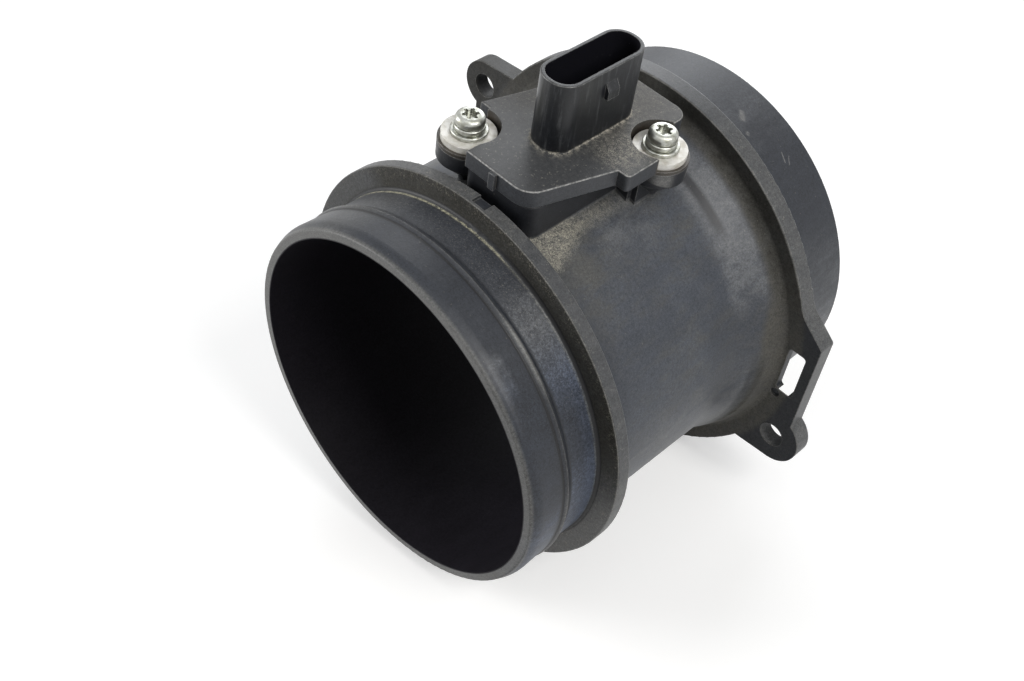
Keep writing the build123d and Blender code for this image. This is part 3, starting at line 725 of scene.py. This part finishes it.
def plateDust(paint, at, look, colour):  # loose dust round the socket and beside the right recess
    loose = paint.area("besideRecess") * 0.6 + at.rear * 0.2
    loose = loose * paint.step(at.fine * 0.6 + at.crumb * 0.6, 0.5, 0.75)
    ring = 1 / (1 + paint.most(at.gap, 0) ** 2 * 4) * paint.step(at.crumb, 0.4, 0.6)
    speck = paint.step(at.speck, 0.66, 0.76) * (0.25 + at.left * 0.5)
    at.dust = paint.clamp(loose + ring + speck) * at.top * (1 - at.socket)
    return paint.mix(at.dust, colour, look["dust"])


def socketShine(paint, at, look, colour):  # glossy outside with faint streaks, black inside
    streaks = paint.step(at.streaks, 0.5, 0.75)
    dusty = paint.step(at.fine * 0.5 + at.crumb * 0.6, 0.58, 0.75)
    dusty = dusty * (1 - paint.rise("socketRoot")) * 0.5
    share = paint.clamp(streaks * 0.7 + dusty)
    colour = paint.mix(at.socket, colour, paint.mix(share, look["socket"], look["streak"]))
    return paint.mix(at.inside, colour, look["dark"])


def moduleEdges(paint, at, look, colour):  # worn edges with painted highlights on their upward-facing bends, pale flecks, and the seam painted dark as shade
    fleck = paint.step(at.fleck, 0.76, 0.79) * at.inside * paint.rise("socketInner")
    # painted highlight on the plate's top edge and the socket's rim, where they turn upward
    rims = paint.area("plateBend") + paint.rise("rimBend") * 0.4
    bend = paint.band(paint.facing()[2], 0.3, 0.9, 0.12) * rims * (1 - at.inside)
    worn = at.edge * (1 - at.pits) * at.outer * (1 - paint.rise("socketRim") * 0.7)
    wearAndHighlight = (worn + bend) * (0.25 + paint.step(at.crumb, 0.35, 0.6) * 0.45)
    colour = paint.mix(paint.clamp(wearAndHighlight + fleck * 0.4), colour, look["worn"])
    # painted shade in the seam between the plate and the pad
    seamShade = paint.step(at.pits, 0.6, 0.95) * at.wall
    return paint.mix(seamShade * 0.8, colour, look["dark"])


def paintModule(look):
    paint = Paint(bpy.data.materials.new("modulePlastic"), {"Specular IOR Level": look["shine"]})
    at = readModule(paint, look)
    colour = plateDirt(paint, at, look)
    for layer in (plateDust, socketShine, moduleEdges):
        colour = layer(paint, at, look, colour)
    colour = paint.scaled(colour, at.fine + at.grain + at.crumb * 0.7 - 0.35)
    rough = 0.44 - at.socket * 0.2 + at.dust * 0.25 + at.rear * 0.14 + at.blotch * 0.1
    rough = paint.clamp(rough - (1 - at.top) * 0.06)
    relief = paint.relief(at.fine * 0.6 + at.crumb * 0.4, *look["relief"])
    paint.feed(paint.surface, {"Base Color": colour, "Roughness": rough, "Normal": relief})
    paint.dull(at.inside * 0.6, look["dark"])
    return paint.owner


plainLooks = {  # two colours that mix in patches, metallic share, roughness, size of a patch
    "brightZinc": ((0.46, 0.47, 0.44), (0.26, 0.26, 0.22), 1.0, 0.30, 1.1),
    "paleSleeve": ((0.70, 0.69, 0.66), (0.52, 0.50, 0.44), 0.3, 0.48, 2.2),
    "rolledCarrier": ((0.76, 0.77, 0.78), (0.66, 0.67, 0.68), 1.0, 0.35, 2.0),
    "turnedBrass": ((0.72, 0.56, 0.28), (0.60, 0.45, 0.20), 1.0, 0.32, 1.2),
    "tinnedPin": ((0.72, 0.72, 0.70), (0.60, 0.60, 0.57), 1.0, 0.30, 0.8),
    "boardCeramic": ((0.80, 0.81, 0.79), (0.70, 0.71, 0.68), 0.0, 0.5, 1.2),
    "chipPlastic": ((0.022, 0.022, 0.024), (0.035, 0.035, 0.037), 0.0, 0.45, 0.6),
    "capacitorCeramic": ((0.50, 0.38, 0.26), (0.42, 0.31, 0.20), 0.0, 0.4, 0.5),
    "filmSilicon": ((0.12, 0.13, 0.19), (0.09, 0.10, 0.15), 0.4, 0.15, 1.0),
    "beadGlass": ((0.20, 0.12, 0.07), (0.14, 0.08, 0.05), 0.0, 0.2, 0.8),
    "sealRubber": ((0.020, 0.020, 0.021), (0.032, 0.032, 0.033), 0.0, 0.6, 0.7),
    "coverPlastic": ((0.034, 0.035, 0.039), (0.046, 0.047, 0.050), 0.0, 0.48, 3.0),
}

plainRelief = (0.15, 0.02, 0.4)


def paintPlain(name, look):
    first, second, metallic, roughness, patch = look
    paint = Paint(bpy.data.materials.new(name), {"Metallic": metallic})
    spot = paint.place()
    clouds = paint.noise(spot, patch, 4, 0.6)
    grain = paint.noise(spot, patch * 0.15, 2, 0.6)
    share = paint.step(clouds, 0.35, 0.7)
    colour = paint.scaled(paint.mix(share, first, second), 0.92 + grain * 0.16)
    rough = roughness + share * 0.12
    relief = paint.relief(grain, *plainRelief)
    paint.feed(paint.surface, {"Base Color": colour, "Roughness": rough, "Normal": relief})
    return paint.owner


repaint(paintDuct(ductLook), "housing_tube")
repaint(paintModule(moduleLook), "sensor_body")
finishes = {
    "brightZinc": ("sensor_screw", "lock_washer", "flat_washer"),
    "paleSleeve": ("mounting_sleeve",),
    "rolledCarrier": ("carrier_plate",),
    "turnedBrass": ("thread_insert",),
    "tinnedPin": ("contact_pin",),
    "boardCeramic": ("circuit_board",),
    "chipPlastic": ("signal_chip",),
    "capacitorCeramic": ("filter_capacitor",),
    "filmSilicon": ("sensing_chip",),
    "beadGlass": ("air_temperature_probe",),
    "sealRubber": ("neck_seal",),
    "coverPlastic": ("channel_cover", "circuit_cover"),
}
for finish, starts in finishes.items():
    repaint(paintPlain(finish, plainLooks[finish]), *starts)
print("finishes")
